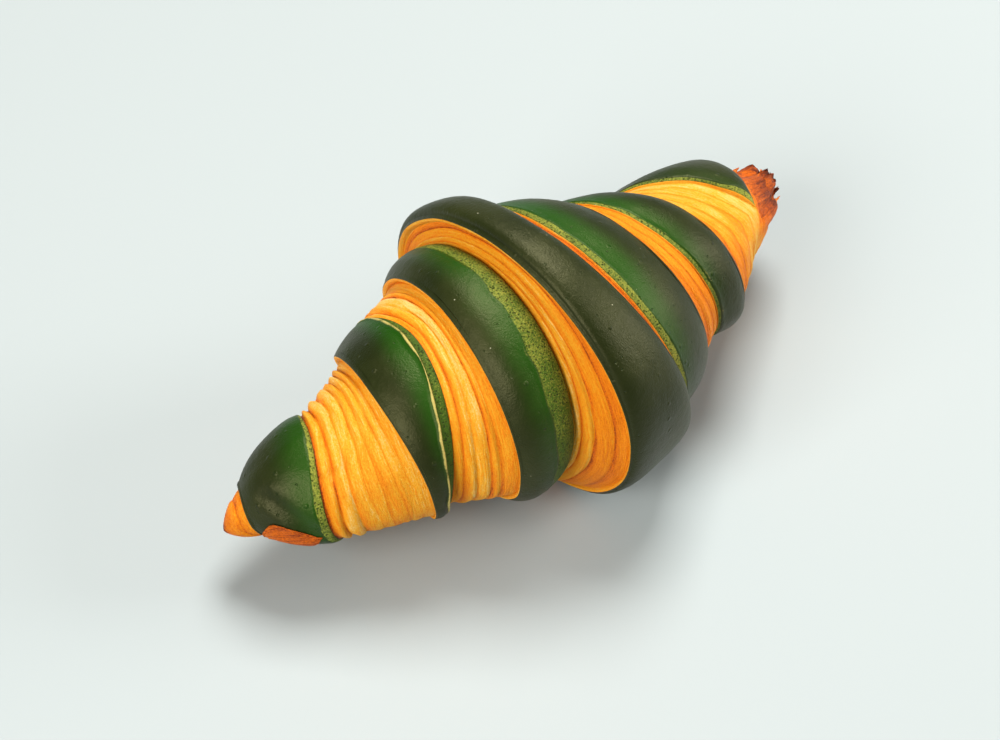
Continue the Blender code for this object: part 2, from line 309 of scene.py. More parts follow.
RIGHT_EDGE = CutEdge(
    side=Side.RIGHT,
    lip=((-4.2, 35.2), (-3.7, 35.1), (7.4, 34.2), (19.2, 32.0),
         (10.7, 27.9), (13.5, 26.8), (21.3, 25.5), (32.5, 23.1),
         (18.4, 22.3), (30.7, 21.9), (38.5, 21.1), (48.4, 17.1),
         (73.6, 11.7), (60.7, 13.5), (54.3, 11.9), (64.2, 9.6), (70.0, 8.6)),
    foot=((-1.6, 31.6), (-0.4, 31.1), (8.4, 30.5), (20.7, 27.4),
          (12.2, 24.3), (19.2, 23.7), (29.6, 20.7), (38.1, 18.3),
          (30.2, 19.1), (47.8, 16.8), (63.4, 12.5), (60.1, 10.5), (64.0, 10.0)),
    bulge=(1.4, 1.4, 1.4, 0.8, 1.2, 1.2, 1.0, 0.8, 3.2, 3.2, 0.6, 0.4),
    strip=(0.06, 0.14, 0.13, 0.02, 0.03, 0.09, 0.08, 0.02, 0.01, 0.05, 0.12, 0.10),
    light=(0.8, 0.9, 0.85, 0.2, 0.7, 0.8, 0.7, 0.2, 0.7, 0.8, 0.8, 0.4),
    rim=(0.05, 0.08, 0.08, 0.05, 0.05, 0.10, 0.12, 0.05, 0.06, 0.08, 0.10, 0.05),
    fresh=(0.3, 1.0, 0.35, 0.1, 0.3, 0.8, 0.20, 0.1, 0.1, 0.35, 0.4, 0.2),
    green_end=1216.0,
    foot_line=2,
    bands=(
        (Fold(1.00, (0.20, 0.20), (0.42, 0.45), 0.12),),
        (Fold(0.35, (0.30, 0.30), (0.44, 0.54), 0.08), Fold(0.35, (0.30, 0.30), (0.38, 0.50), 0.12),
         Fold(0.30, (0.30, 0.25), (0.42, 0.56), 0.08)),
        (Fold(0.16, (0.20, 0.30), (0.42, 0.60), 0.06), Fold(0.20, (0.20, 0.25), (0.26, 0.48), 0.08),
         Fold(0.24, (0.25, 0.20), (0.24, 0.38), 0.07), Fold(0.22, (0.25, 0.20), (0.24, 0.30), 0.08),
         Fold(0.18, (0.20, 0.20), (0.16, 0.26), 0.08)),
        (Fold(0.15, (0.10, 0.10), (0.56, 0.64), 0.12), Fold(0.30, (0.10, 0.10), (0.76, 0.80), 0.08),
         Fold(0.55, (0.10, 0.10), (0.86, 0.90), 0.04))))


@dataclass(frozen=True)
class Roll:
    """The roll that both cut edges wind round: its bent axis, and the surface between the edges."""

    left: CutEdge = LEFT_EDGE
    right: CutEdge = RIGHT_EDGE
    length: float = 168.0               # from tip to tip, mm
    axis_height: float = 32.4
    tip_drop: float = 17.6              # how far the axis sinks towards the tips
    tip_bend: float = 14.0              # how far it bends to the back there
    width_factor: float = 1.04
    height_factor: float = 0.96
    turns: int = 4
    point_angle: float = -40.0          # where the point of the dough triangle lies
    point_spread: float = 75.0          # the outer turn is full width this far from it
    core_end: float = 60.0              # the innermost lips sink into the tips over this angle
    core_start: float = 60.0            # and the skin before them turns into the tips over this one
    settle_angle: float = 110.0         # the outer turn settles on the next one over this angle
    outer_bulge: float = 2.3
    outer_fullness: float = 2.5
    foot_clearance: Span = (0.4, 0.6)   # least distance from the foot to its lip and to the next one
    left_tip_roundness: float = 1.45
    right_tip_taper: float = 0.48
    right_tip_bluntness: int = 8
    right_tip_inset: float = 6.0
    right_tip_slant: float = 0.85       # of its end face, most at the next angle
    right_tip_slant_angle: float = 38.0
    # number round the tip, phase and depth
    tip_flutes: tuple[tuple[int, float, float], ...] = ((7, 0.4, 0.13), (11, 1.9, 0.07))
    left_tip_nod: float = 1.2
    right_tip_lift: float = 3.0
    nod_length: float = 14.0            # how much of a tip nods or lifts
    lip_profile: Stations = ((0.0, 0.0), (0.9, 0.7), (0.7, 1.7), (-0.6, 2.4))
    lip_full_height: float = 5.0        # a lip is full size where its side is this high
    flat_lip_spread: float = 0.75
    core_lip: float = 0.55              # size of the innermost lip
    right_core_lip_end: float = 1220.0
    right_core_lip_fade: float = 60.0
    side_hollow: float = 0.4            # of a golden side, where its lip is thick
    lip_columns: int = 11
    layer_columns: int = 56
    skin_columns: int = 30

    @property
    def end_angle(self) -> float:
        """Return the winding angle where the innermost edge ends."""
        return self.point_angle + FULL_TURN * self.turns

    @property
    def tip(self) -> float:
        """Return how far each tip lies from the middle of the roll, in mm."""
        return self.length / 2

    def tip_end(self, side: Side) -> float:
        """Return the place along the roll where a tip ends, on the axis, in mm."""
        return -self.tip if side is Side.LEFT else self.tip - self.right_tip_inset

    def point_growth(self, angle: float) -> float:
        """Return how far the outer turn has widened from the triangle's point, from 0 to 1."""
        part = np.clip((angle - self.point_angle) / self.point_spread, 0.0, 1.0)
        return float(np.sqrt(1.0 - (1.0 - part) ** 2))

    def lips(self, angle: float) -> dict[Side, Array]:
        """Find the lip of each edge.

        Args:
            angle: The winding angle.

        Returns:
            Each lip's place and radius, mm.
        """
        found = {edge.side: quarter_curve(edge.lip, angle) for edge in (self.left, self.right)}
        grown = self.point_growth(angle)
        seat = quarter_curve(self.left.foot, angle)[1]
        middle = np.array(((found[Side.LEFT][0] + found[Side.RIGHT][0]) / 2, seat))
        sunk = ease((angle - self.end_angle + self.core_end) / self.core_end)
        for side, lip in found.items():
            if grown < 1.0:
                lip = middle + (lip - middle) * grown
            found[side] = lip + (np.array((self.tip_end(side), 0.0)) - lip) * sunk
        return found

    def foot(self, edge: CutEdge, angle: float, lip: Array, next_lip: Array) -> Array:
        """Find where the golden side meets the next turn.

        Args:
            edge: The cut edge.
            angle: The winding angle.
            lip: The edge's lip there.
            next_lip: Its lip one turn further in.

        Returns:
            The foot's place and radius, between the two lips.
        """
        place, radius = quarter_curve(edge.foot, angle)
        grown = self.point_growth(angle)
        if grown < 1.0:
            place = lip[0] + place - quarter_curve(edge.lip, angle)[0]
            radius = lip[1] + (radius - lip[1]) * grown
        near, far = self.foot_clearance
        low, high = sorted((lip[0] + edge.side * near, next_lip[0] - edge.side * far))
        return np.array((min(max(place, low), high), radius))


@dataclass(frozen=True)
class LayerRelief:
    """Height and tone of the folds that show on a golden side, with sharp grooves between them."""

    crest: float = 0.26                 # where in a fold it stands highest, from its lip side
    fullness: float = 2.0
    top_angle: float = 75.0             # a fold has its top values here, and its front ones beyond
    front_share: float = 0.45           # the front is reached at this share of the way round
    wander: float = 0.035               # how far a groove wanders, as a share of the side
    wander_angle: float = 38.0          # over this winding angle
    lamina: float = 0.85                # width of the thin layers in a fold, mm
    lamina_height: float = 0.16
    lamina_angle: float = 30.0          # one grows and sinks over this winding angle
    tone_spread: float = 0.07
    height_spread: float = 0.25
    sunk: float = 0.6                   # share of a fold's height that lies below the side
    darkening: float = 1.6              # a power: how late a fold darkens to its foot side
    groove_bends: float = 5.0           # of one groove
    calm_ends: float = 8.0              # how soon the wandering sets in from both ends of a side
    lamina_share: float = 0.2           # of the thin layers in how high a point stands
    lines: GentleNoise = GentleNoise(11)
    laminae: GentleNoise = GentleNoise(12)
    tones: GentleNoise = GentleNoise(13)

    BAND_SHIFT = 5.0                    # apart in the noise, so that nothing repeats
    FOLD_SHIFT = 1.3
    SIDE_SHIFT = 13.0
    LAST_PLACE = 0.9999

    def fold(self, inside: Array) -> Array:
        """Find how high places stand in their fold.

        Args:
            inside: Places across the fold, from 0 to 1.

        Returns:
            Their height, from 0 in the groove to 1 on the crest.
        """
        near = (self.crest - inside) / self.crest
        far = (inside - self.crest) / (1.0 - self.crest)
        return 1.0 - np.clip(np.maximum(near, far), 0.0, 1.0) ** self.fullness

    def read_band(self, folds: tuple[Fold, ...], angle: float, part: Array) -> Array:
        """Find one band's folds across a golden side.

        Args:
            folds: The band's folds.
            angle: The winding angle.
            part: Places across the side, from 0 under the lip to 1 at the foot.

        Returns:
            For each place its relief in mm, how high it stands in its fold from 0 to 1, the fold's number
            and its tone.
        """
        widths = np.array([fold.width for fold in folds])
        edges = np.concatenate(((0.0,), np.cumsum(widths))) / widths.sum()
        shift = self.wander * self.lines.at(angle / self.wander_angle + self.BAND_SHIFT * len(folds),
                                            part * self.groove_bends)
        shift = shift * np.minimum(1.0, self.calm_ends * part * (1.0 - part))
        across = np.clip(part + shift, 0.0, self.LAST_PLACE)
        number = np.searchsorted(edges, across, side="right") - 1
        inside = (across - edges[number]) / (edges[number + 1] - edges[number])
        front = float(ease((0.5 - 0.5 * np.cos(np.radians(angle - self.top_angle))) / self.front_share))
        top, front_height, top_tone, front_tone, rise = np.array([fold.numbers() for fold in folds])[number].T
        height = top + (front_height - top) * front
        tone = top_tone + (front_tone - top_tone) * front + rise * inside ** self.darkening
        uneven = self.tones.at(angle / (2 * self.wander_angle), number * self.FOLD_SHIFT + 0.5)
        ridge = self.fold(inside)
        return np.stack((height * (1.0 + self.height_spread * uneven) * (ridge - self.sunk), ridge,
                         number.astype(float), tone + self.tone_spread * uneven))

    def read(self, edge: CutEdge, angle: float, part: Array,
             width: float) -> tuple[Array, Array, Array, Array]:
        """Find the folds and the thin layers across a golden side.

        Args:
            edge: The cut edge.
            angle: The winding angle.
            part: Places across the side, from 0 under the lip to 1 at the foot.
            width: The side's width, mm.

        Returns:
            For each place its relief in mm, how high it stands in its fold from 0 to 1, the fold's number
            and its tone.
        """
        relief, ridge, number, tone = sum(share * self.read_band(folds, angle, part)
                                          for share, folds in edge.bands_at(angle))
        lamina = self.laminae.at(angle / self.lamina_angle + self.SIDE_SHIFT * edge.side,
                                 part * width / self.lamina)
        ridge = (1.0 - self.lamina_share) * ridge + self.lamina_share * (0.5 + 0.5 * lamina)
        return relief + self.lamina_height * lamina, ridge, number, tone


@dataclass(frozen=True)
class Crease:
    """A soft groove in the skin of a winding strip, with a low ridge on its inner side."""

    side: Side
    start: Span                     # winding angle of the strip's row, and place along the roll in mm
    end: Span
    width: float                    # mm
    depth: float                    # mm
    fade: float = 14.0              # degrees at both ends

    RIDGE_HEIGHT = 0.6              # of the depth
    RIDGE_PLACE = 1.6               # of the width, from the groove

    def read(self, angle: float, place: Array) -> Array:
        """Find the crease's height along a row.

        Args:
            angle: The row's winding angle.
            place: Places along the roll, mm.

        Returns:
            The height at each place, mm.
        """
        share = (angle - self.start[0]) / (self.end[0] - self.start[0])
        off = (place - self.start[1] - share * (self.end[1] - self.start[1])) / self.width
        ends = ease((angle - self.start[0]) / self.fade) * ease((self.end[0] - angle) / self.fade)
        ridge = self.RIDGE_HEIGHT * np.exp(-(off - self.RIDGE_PLACE) ** 2)
        return self.depth * ends * (ridge - np.exp(-off ** 2))


@dataclass(frozen=True)
class DoughSkin:
    """The whole roll as one closed skin, with its layers, rims and strips as relief. Sizes are in mm."""

    roll: Roll = Roll()
    relief: LayerRelief = LayerRelief()
    steps: int = 100                    # rows to a turn
    path_radius: float = 25.0           # turns a winding angle into a length for the finishes
    wave_size: Span = (10.0, 26.0)      # mm along the roll, degrees round it
    wave_height: float = 0.30
    wave_room: float = 8.0              # the outer turn's waves are full where it is this wide
    lip_wave_size: Span = (12.0, 14.0)
    lip_wave_radius: float = 10.0       # they are full from this radius on
    lip_wave: float = 0.16
    thick_lip_angle: float = 70.0       # the lips are thick here, on top, and thin in front
    thick_lip_power: int = 3            # how soon they thin from there
    thin_lip: float = 0.42              # of the thick one
    green_lip: float = 0.34             # share of the lip's round that is still green
    lip_ridge: float = 0.6
    cream_reach: float = 0.5            # the cream under a lip fades over this length
    shade_reach: float = 1.5            # and its shade over this one
    side_bulge: float = 0.55            # of a golden side, where its lip is thin
    side_edge: float = 0.8              # its relief fades over this length at both ends
    flattest_bulge: float = 3.0         # a bulge is at most the skin's width divided by this
    skin_fullness: float = 2.6
    strip_columns: int = 9
    strip_uneven: float = 0.10
    strip_edge: float = 0.3             # the speckled strip fades into the rim over this length
    strip_sunk: float = 0.7             # below the skin, as a share of the rim's height
    rim_columns: int = 6
    rim_width: float = 0.75
    rim_uneven: float = 0.85
    rim_height_uneven: float = 0.5
    rim_limits: Span = (0.4, 0.95)      # share of the skin: its width, and where it ends
    rim_room: float = 4.0               # the rim is full where the skin is this wide
    rim_pale: float = 0.3               # a rim this high is pale all through
    patch_angle: float = 42.0           # the green ends in a speckled patch over this winding angle
    patch_share: float = 0.85
    patch_light: float = 0.6
    foot_tone: float = 0.42             # of the thin golden line at the foot
    strip_grain: float = 0.12
    strip_grain_size: Span = (0.5, 1.6)
    rim_wave_angle: float = 7.0
    rim_width_angle: float = 11.0
    fresh_reach: float = 0.40           # the fresh green fades over this share of the skin
    tip_relief: float = 0.45
    tip_relief_ends: Span = (8.0, 6.0)  # how soon it sets in from the lip and from the end
    tip_ridge: float = 0.75
    tip_ripples: Stations = ((13.0, 0.07), (7.5, 0.05))     # degrees and share of the radius
    tip_radius: float = 8.0             # turns a winding angle into a length on the right tip
    cream_tone: float = 0.30            # of the layers right under a lip
    tip_root_tone: float = 0.52         # the right tip is this much paler by its lip, past the green
    tip_root_power: float = 0.7         # how soon it darkens from there
    creases: tuple[Crease, ...] = (
        Crease(Side.LEFT, (826.0, -74.4), (912.0, -66.6), 1.5, 1.1),
        Crease(Side.LEFT, (838.0, -77.0), (900.0, -73.4), 1.3, 0.5))
    skin_waves: GentleNoise = GentleNoise(5)
    lip_waves: GentleNoise = GentleNoise(6)
    strip_waves: GentleNoise = GentleNoise(7)

    LEAST_WIDTH = 0.01
    SIDE_TRACK = 3.0                    # rows of the noise, so that nothing repeats
    RIM_TRACK = 8.5
    OUTER_TRACK = 9.0
    RIPPLE_TRACK = 30.0

    def lip_thickness(self, angle: float) -> float:
        """Return how thick a lip is at a winding angle, as a share of the thickest."""
        share = 0.5 + 0.5 * np.cos(np.radians(angle - self.thick_lip_angle))
        return self.thin_lip + (1.0 - self.thin_lip) * share ** self.thick_lip_power

    def lip_row(self, edge: CutEdge, lip: Array, size: float, spread: float) -> Row:
        """Make the rounded lip.

        Args:
            edge: The cut edge.
            lip: Its crest, as place and radius.
            size: The lip's size, 1 for the thickest.
            spread: How far the profile of a flat lip is laid out.

        Returns:
            The row from the crest to the lip's underside.
        """
        part = np.linspace(0.0, 1.0, self.roll.lip_columns + 1)
        profile = curve_through(np.array(self.roll.lip_profile), part * (len(self.roll.lip_profile) - 1))
        points = np.stack((lip[0] + edge.side * (size * profile[:, 0] + spread * part),
                           lip[1] - size * profile[:, 1]), axis=1)
        # shade runs from the crest to where the green ends; the skin finish paints a shadow on the lip's
        # underside with it
        return Row.of(points, shade=np.clip(part / self.green_lip, 0.0, 1.0), tone=self.cream_tone,
                      ridge=self.lip_ridge)

    def layer_row(self, edge: CutEdge, angle: float, start: Array, seat: Array, size: float) -> Row:
        """Make the golden side from under the lip down to the foot.

        Args:
            edge: The cut edge.
            angle: The winding angle.
            start: The lip's underside.
            seat: The foot.
            size: How much of the relief there is room for.

        Returns:
            The row, without its first point.
        """
        part = np.linspace(0.0, 1.0, self.roll.layer_columns + 1)[1:]
        along = seat - start
        width = max(float(np.hypot(*along)), self.LEAST_WIDTH)
        outward = edge.side * np.array((-along[1], along[0])) / width
        relief, ridge, layer, tone = self.relief.read(edge, angle, part, width)
        thickness = self.lip_thickness(angle)
        belly = self.side_bulge * (1.0 - thickness) - self.roll.side_hollow * thickness
        height = relief * np.minimum(1.0, np.minimum(part, 1.0 - part) * width / self.side_edge)
        height = height + belly * np.sin(np.pi * part)
        points = start + along * part[:, None] + outward * (size * height)[:, None]
        cream = np.exp(-part * width / self.cream_reach)
        # shade paints shade on the side right under its lip, deeper under a thick lip
        return Row.of(points, ridge=ridge, tone=tone + (self.cream_tone - tone) * cream, seed=layer,
                      shade=1.0 + np.exp(-part * width / self.shade_reach) * thickness)

    def skin_row(self, edge: CutEdge, angle: float, seat: Array, next_lip: Array) -> Row:
        """Make the next turn's skin from the foot to its lip: speckled strip, rim and satin skin.

        Args:
            edge: The cut edge.
            angle: The winding angle.
            seat: The foot.
            next_lip: The next turn's lip.

        Returns:
            The row, without its first point.
        """
        width = max(abs(next_lip[0] - seat[0]), self.LEAST_WIDTH)
        uneven = self.strip_waves.at(angle / self.rim_wave_angle, self.SIDE_TRACK * edge.side)
        strip = float(quarter_curve(edge.strip, angle)) * (1.0 + self.strip_uneven * uneven)
        patch = float(ease((angle + FULL_TURN - edge.green_end + self.patch_angle) / self.patch_angle))
        strip += (self.patch_share - strip) * patch
        rim_wave = self.strip_waves.at(angle / self.rim_width_angle, self.RIM_TRACK)
        rim_width = self.rim_width * (1.0 + self.rim_uneven * rim_wave)
        rim_end = min(strip + rim_width / width, strip + self.rim_limits[0], self.rim_limits[1])
        columns = self.roll.skin_columns - self.strip_columns - self.rim_columns
        part = np.concatenate((
            np.linspace(0.0, strip, self.strip_columns + 1)[1:],
            np.linspace(strip, rim_end, self.rim_columns + 1)[1:],
            rim_end + (1.0 - rim_end) * np.sin(np.linspace(0.0, np.pi / 2, columns + 1)[1:])))
        bulge = min(float(quarter_curve(edge.bulge, angle)), width / self.flattest_bulge)
        from_middle = 2 * part - 1
        rise = bulge * np.where(part < 0.5, np.sqrt(np.clip(1.0 - from_middle ** 2, 0.0, 1.0)),
                                1.0 - np.abs(from_middle) ** self.skin_fullness)
        on_strip = ease((strip - part) * width / self.strip_edge + 0.5)
        on_rim = np.clip(1.0 - ((part - (strip + rim_end) / 2) / ((rim_end - strip) / 2)) ** 2, 0.0, 1.0)
        rim_height = (float(quarter_curve(edge.rim, angle)) * min(1.0, width / self.rim_room)
                      * (1.0 + self.rim_height_uneven * uneven))
        ends = np.sin(np.pi * part)
        place = seat[0] + (next_lip[0] - seat[0]) * part
        grain = self.strip_waves.at(angle / self.strip_grain_size[1], place / self.strip_grain_size[0])
        wave = self.skin_waves.at(place / self.wave_size[0], angle / self.wave_size[1])
        rise = (rise + rim_height * (on_rim - self.strip_sunk * on_strip * ends)
                + self.strip_grain * grain * on_strip * ends
                + self.wave_height * wave * ends * (1 - on_strip))
        creases = [crease.read(angle, place) for crease in self.creases if crease.side is edge.side]
        rise = rise + sum(creases) * ends
        points = np.stack((place, seat[1] + (next_lip[1] - seat[1]) * part + rise), axis=1)
        fresh = float(quarter_curve(edge.fresh, angle)) * np.exp(
            -(np.clip(part - strip, 0.0, 1.0) / self.fresh_reach) ** 2)
        # light: the strip's own paleness, lowered with painted shade where the strip lies in shade
        light = float(quarter_curve(edge.light, angle)) + self.patch_light * patch
        tone = np.where(np.arange(len(part)) < edge.foot_line, self.foot_tone, light)
        return Row.of(points, fresh=fresh, speckle=on_strip, tone=tone,
                      rim=on_rim * np.clip(rim_height / self.rim_pale, 0.0, 1.0))

    def strip_row(self, edge: CutEdge, angle: float) -> Row:
        """Make one row of a winding strip, from a lip to the next turn's lip.

        Args:
            edge: The cut edge.
            angle: The winding angle.

        Returns:
            The row.
        """
        roll = self.roll
        lip = roll.lips(angle)[edge.side]
        core_share = float(ease((angle + FULL_TURN - roll.end_angle + roll.core_start) / roll.core_start))
        tip_row = self.tip_row(edge, angle, lip) if core_share > 0.0 else None
        if core_share >= 1.0:
            return tip_row
        next_lip = roll.lips(angle + FULL_TURN)[edge.side]
        seat = roll.foot(edge, angle, lip, next_lip)
        size = float(np.clip((lip[1] - seat[1]) / roll.lip_full_height, 0.0, 1.0))
        lip_row = self.lip_row(edge, lip, size * self.lip_thickness(angle),
                               (1.0 - size) * roll.flat_lip_spread)
        row = Row.joined((lip_row, self.layer_row(edge, angle, lip_row.points[-1], seat, size),
                          self.skin_row(edge, angle, seat, next_lip)))
        if tip_row is not None:
            row = row.mixed(tip_row, core_share)
            pull = np.linspace(0.0, 1.0, len(row.points))[:, None] ** 2
            row.points = row.points + pull * (next_lip - row.points[-1])
        return self.with_path(row, angle)

    def tip_row(self, edge: CutEdge, angle: float, lip: Array) -> Row:
        """Make one row of the innermost turn, from its lip round the golden tip to the end of the roll.

        Args:
            edge: The cut edge.
            angle: The winding angle.
            lip: The innermost lip.

        Returns:
            The row.
        """
        roll = self.roll
        size = roll.core_lip * min(1.0, lip[1] / roll.lip_full_height)
        if edge.side is Side.RIGHT:
            size *= 1.0 - float(ease((angle - roll.right_core_lip_end) / roll.right_core_lip_fade + 1.0))
        lip_row = self.lip_row(edge, lip, size, 0.0)
        start = lip_row.points[-1]
        columns = roll.layer_columns + roll.skin_columns
        part = np.sin(np.arange(1, columns + 1) / columns * np.pi / 2)
        reach = roll.tip_end(edge.side) - start[0]
        slant = 0.0
        if edge.side is Side.LEFT:
            shape = (1.0 - part ** roll.left_tip_roundness) ** (1.0 / roll.left_tip_roundness)
        else:
            flutes = sum(depth * np.cos(count * np.radians(angle) + phase)
                         for count, phase, depth in roll.tip_flutes)
            flutes += sum(depth * float(self.strip_waves.at(angle / ripple, self.RIPPLE_TRACK))
                          for ripple, depth in self.tip_ripples)
            shape = ((1.0 - roll.right_tip_taper * part) * (1.0 + part * flutes)
                     * np.sqrt(np.clip(1.0 - part ** roll.right_tip_bluntness, 0.0, 1.0)))
            slant = roll.right_tip_slant * np.cos(np.radians(angle - roll.right_tip_slant_angle))
        relief, ridge, layer, tone = self.relief.read(edge, angle, part, abs(reach))
        start_fade, end_fade = self.tip_relief_ends
        fade = (np.clip(part * start_fade, 0, 1) * np.clip((1 - part) * end_fade, 0, 1)
                * min(1.0, lip[1] / roll.lip_full_height))
        radius = start[1] * shape + self.tip_relief * fade * relief
        points = np.stack((start[0] + reach * part + slant * radius * part ** 2, radius), axis=1)
        gold = Row.of(points, ridge=ridge, tone=tone, seed=layer, shade=1.0)
        row = self.with_path(Row.joined((lip_row, gold)), angle)
        if edge.side is Side.RIGHT:
            past_green = float(ease((angle - edge.green_end) / self.patch_angle))
            paler = self.tip_root_tone * past_green * (1 - part) ** self.tip_root_power
            row.traits[len(lip_row.points):, Trait.TONE] -= paler
            row.traits[:, Trait.SEED] = 0.0
            row.traits[:, Trait.RIDGE] = self.tip_ridge
            row.traits[:, Trait.PATH] = row.traits[:, Trait.ACROSS]
            row.traits[:, Trait.ACROSS] = np.radians(angle) * self.tip_radius
        return row

    def with_path(self, row: Row, angle: float) -> Row:
        """Write how far each point lies along the winding and across it, in mm.

        Args:
            row: The row.
            angle: Its winding angle.

        Returns:
            The same row.
        """
        steps = np.hypot(*np.diff(row.points, axis=0).T)
        row.traits[:, Trait.PATH] = np.radians(angle) * self.path_radius
        row.traits[:, Trait.ACROSS] = np.concatenate(((0.0,), np.cumsum(steps)))
        return row

    def outer_row(self, angle: float) -> Row:
        """Make one row of the outer turn's skin, from its left lip to its right lip.

        Towards its end the skin settles on the rows of the two strips that start there.

        Args:
            angle: The winding angle.

        Returns:
            The row.
        """
        roll = self.roll
        under = Row.joined((self.strip_row(roll.left, roll.point_angle).turned_round(),
                            self.strip_row(roll.right, roll.point_angle).part_of(1)))
        first, last = under.points[0], under.points[-1]
        under_share = (under.points[:, 0] - first[0]) / (last[0] - first[0])
        under_rise = under.points[:, 1] - (first[1] + (last[1] - first[1]) * under_share)
        settle_start = roll.point_angle + FULL_TURN - roll.settle_angle
        settled = float(ease((angle - settle_start) / roll.settle_angle))
        share = np.linspace(0.0, 1.0, len(under_share)) * (1 - settled) + under_share * settled
        lips = roll.lips(angle)
        left, right = lips[Side.LEFT], lips[Side.RIGHT]
        width = right[0] - left[0]
        rise = min(roll.outer_bulge, width / self.flattest_bulge) * np.sqrt(
            np.clip(1.0 - np.abs(2 * share - 1) ** roll.outer_fullness, 0.0, 1.0))
        place = left[0] + width * share
        wave = self.skin_waves.at(place / self.wave_size[0] + self.OUTER_TRACK, angle / self.wave_size[1])
        rise = rise + self.wave_height * wave * np.sin(np.pi * share) * min(1.0, width / self.wave_room)
        points = np.stack((place, left[1] + (right[1] - left[1]) * share + (1 - settled) * rise
                           + settled * under_rise), axis=1)
        own = self.with_path(Row.of(points), angle)
        own.traits += (under.traits - own.traits) * float(settled >= 1.0)
        return own

    def bent(self, points: Array, angle: float) -> Array:
        """Set places and radii on the bent axis of the roll.

        Args:
            points: Places along the roll and radii.
            angle: Their winding angle.

        Returns:
            The points in space, in mm from the middle of the roll's length.
        """
        roll = self.roll
        place = points[:, 0]
        lip_wave = self.lip_waves.at(angle / self.lip_wave_size[1], place / self.lip_wave_size[0])
        radius = points[:, 1]
        radius = radius + self.lip_wave * lip_wave * np.clip(radius / self.lip_wave_radius, 0.0, 1.0)
        part = place / roll.tip
        left_share, right_share = (
            np.clip((side * place - roll.tip) / roll.nod_length + 1.0, 0.0, None) ** 2 for side in Side)
        height = (roll.axis_height - roll.tip_drop * part ** 2 - roll.left_tip_nod * left_share
                  + roll.right_tip_lift * right_share)
        axis = np.stack((place, roll.tip_bend * part ** 2, height), axis=1)
        along = np.stack((np.ones_like(part), 2 * roll.tip_bend * part / roll.tip,
                          -2 * roll.tip_drop * part / roll.tip), axis=1)
        along /= np.linalg.norm(along, axis=1, keepdims=True)
        back = np.stack((-along[:, 1], along[:, 0], np.zeros_like(part)), axis=1)
        back /= np.linalg.norm(back, axis=1, keepdims=True)
        turn = np.radians(angle)
        return (axis + (radius * roll.width_factor * np.cos(turn))[:, None] * back
                + (radius * roll.height_factor * np.sin(turn))[:, None] * np.cross(along, back))

    @cached_property
    def angles(self) -> Array:
        """Return the winding angle of every row, from the triangle's point inwards."""
        return self.roll.point_angle + np.arange(self.steps * self.roll.turns + 1) * FULL_TURN / self.steps

    @cached_property
    def rows(self) -> dict[Side, list[Row]]:
        """Return the rows of both winding strips."""
        return {edge.side: [self.strip_row(edge, angle) for angle in self.angles]
                for edge in (self.roll.left, self.roll.right)}

    @cached_property
    def centre(self) -> Array:
        """Find the middle of the roll's box on the table plane, which is set at the origin.

        Returns:
            The point, mm.
        """
        found = np.vstack([self.bent(row.points, angle)
                           for rows in self.rows.values() for row, angle in zip(rows, self.angles)])
        middle = (found.min(axis=0) + found.max(axis=0)) / 2
        return np.array((middle[0], middle[1], 0.0))

    def in_space(self, points: Array, angle: float) -> Array:
        """Set places and radii in space, on or above the table.

        Args:
            points: Places along the roll and radii, mm.
            angle: Their winding angle, or one for each.

        Returns:
            The points in space, in metres.
        """
        found = self.bent(points, angle) - self.centre
        found[:, 2] = np.maximum(found[:, 2], 0.0)
        return found * MM

    def slot_of(self, edge: CutEdge, step: int, column: int) -> Slot:
        """Tell the material of a face of a winding strip.

        Args:
            edge: The strip's cut edge.
            step: The face's step along the winding.
            column: Its column across the strip.

        Returns:
            Its material slot.
        """
        angle = self.roll.point_angle + step * FULL_TURN / self.steps
        if column < self.roll.lip_columns * self.green_lip:
            return Slot.SKIN if angle < edge.green_end else Slot.LAYERS
        on_skin = column >= self.roll.lip_columns + self.roll.layer_columns + edge.foot_line
        return Slot.SKIN if on_skin and angle + FULL_TURN < edge.green_end else Slot.LAYERS

    def add_patch(self, mesh: bmesh.types.BMesh, angles: Array, rows: list[Row], slots: Any,
                  flip: bool) -> None:
        """Lay a grid through rows of points.

        Args:
            mesh: The mesh to add to.
            angles: The rows' winding angles.
            rows: The rows, all of one length.
            slots: A function from step and column to a material slot.
            flip: Whether the faces have to be turned over.
        """
        places = [self.in_space(row.points, angle) for row, angle in zip(rows, angles)]
        made = grid_through(mesh, places, [row.traits for row in rows], slots)
        if flip:
            bmesh.ops.reverse_faces(mesh, faces=list({face for vert in made for face in vert.link_faces}))

    def build(self) -> bpy.types.Object:
        """Build the closed skin.

        Returns:
            The piece.
        """
        mesh = new_mesh()
        outer = self.angles[:self.steps + 1]
        self.add_patch(mesh, outer, [self.outer_row(angle) for angle in outer],
                       lambda step, column: Slot.SKIN, flip=False)
        for edge in (self.roll.left, self.roll.right):
            self.add_patch(mesh, self.angles, self.rows[edge.side], partial(self.slot_of, edge),
                           flip=edge.side is Side.LEFT)
        bmesh.ops.remove_doubles(mesh, verts=mesh.verts, dist=WELD_DISTANCE)
        bmesh.ops.dissolve_degenerate(mesh, edges=mesh.edges, dist=WELD_DISTANCE)
        return made_object("dough_skin", mesh)


@dataclass(frozen=True)
class Flake:
    """The thin end of a layer that stands off the surface."""

    angle: float            # winding angle of its middle
    spread: float           # degrees round the roll, where it is widest
    root: float             # place of its root along the roll, mm
    reach: float            # how far it reaches from there, mm
    lift: float             # how far its free end stands off, mm
    tone: float             # from cream (0) to brown (1)
    point: float            # 0 is a blunt end, 1 a pointed one


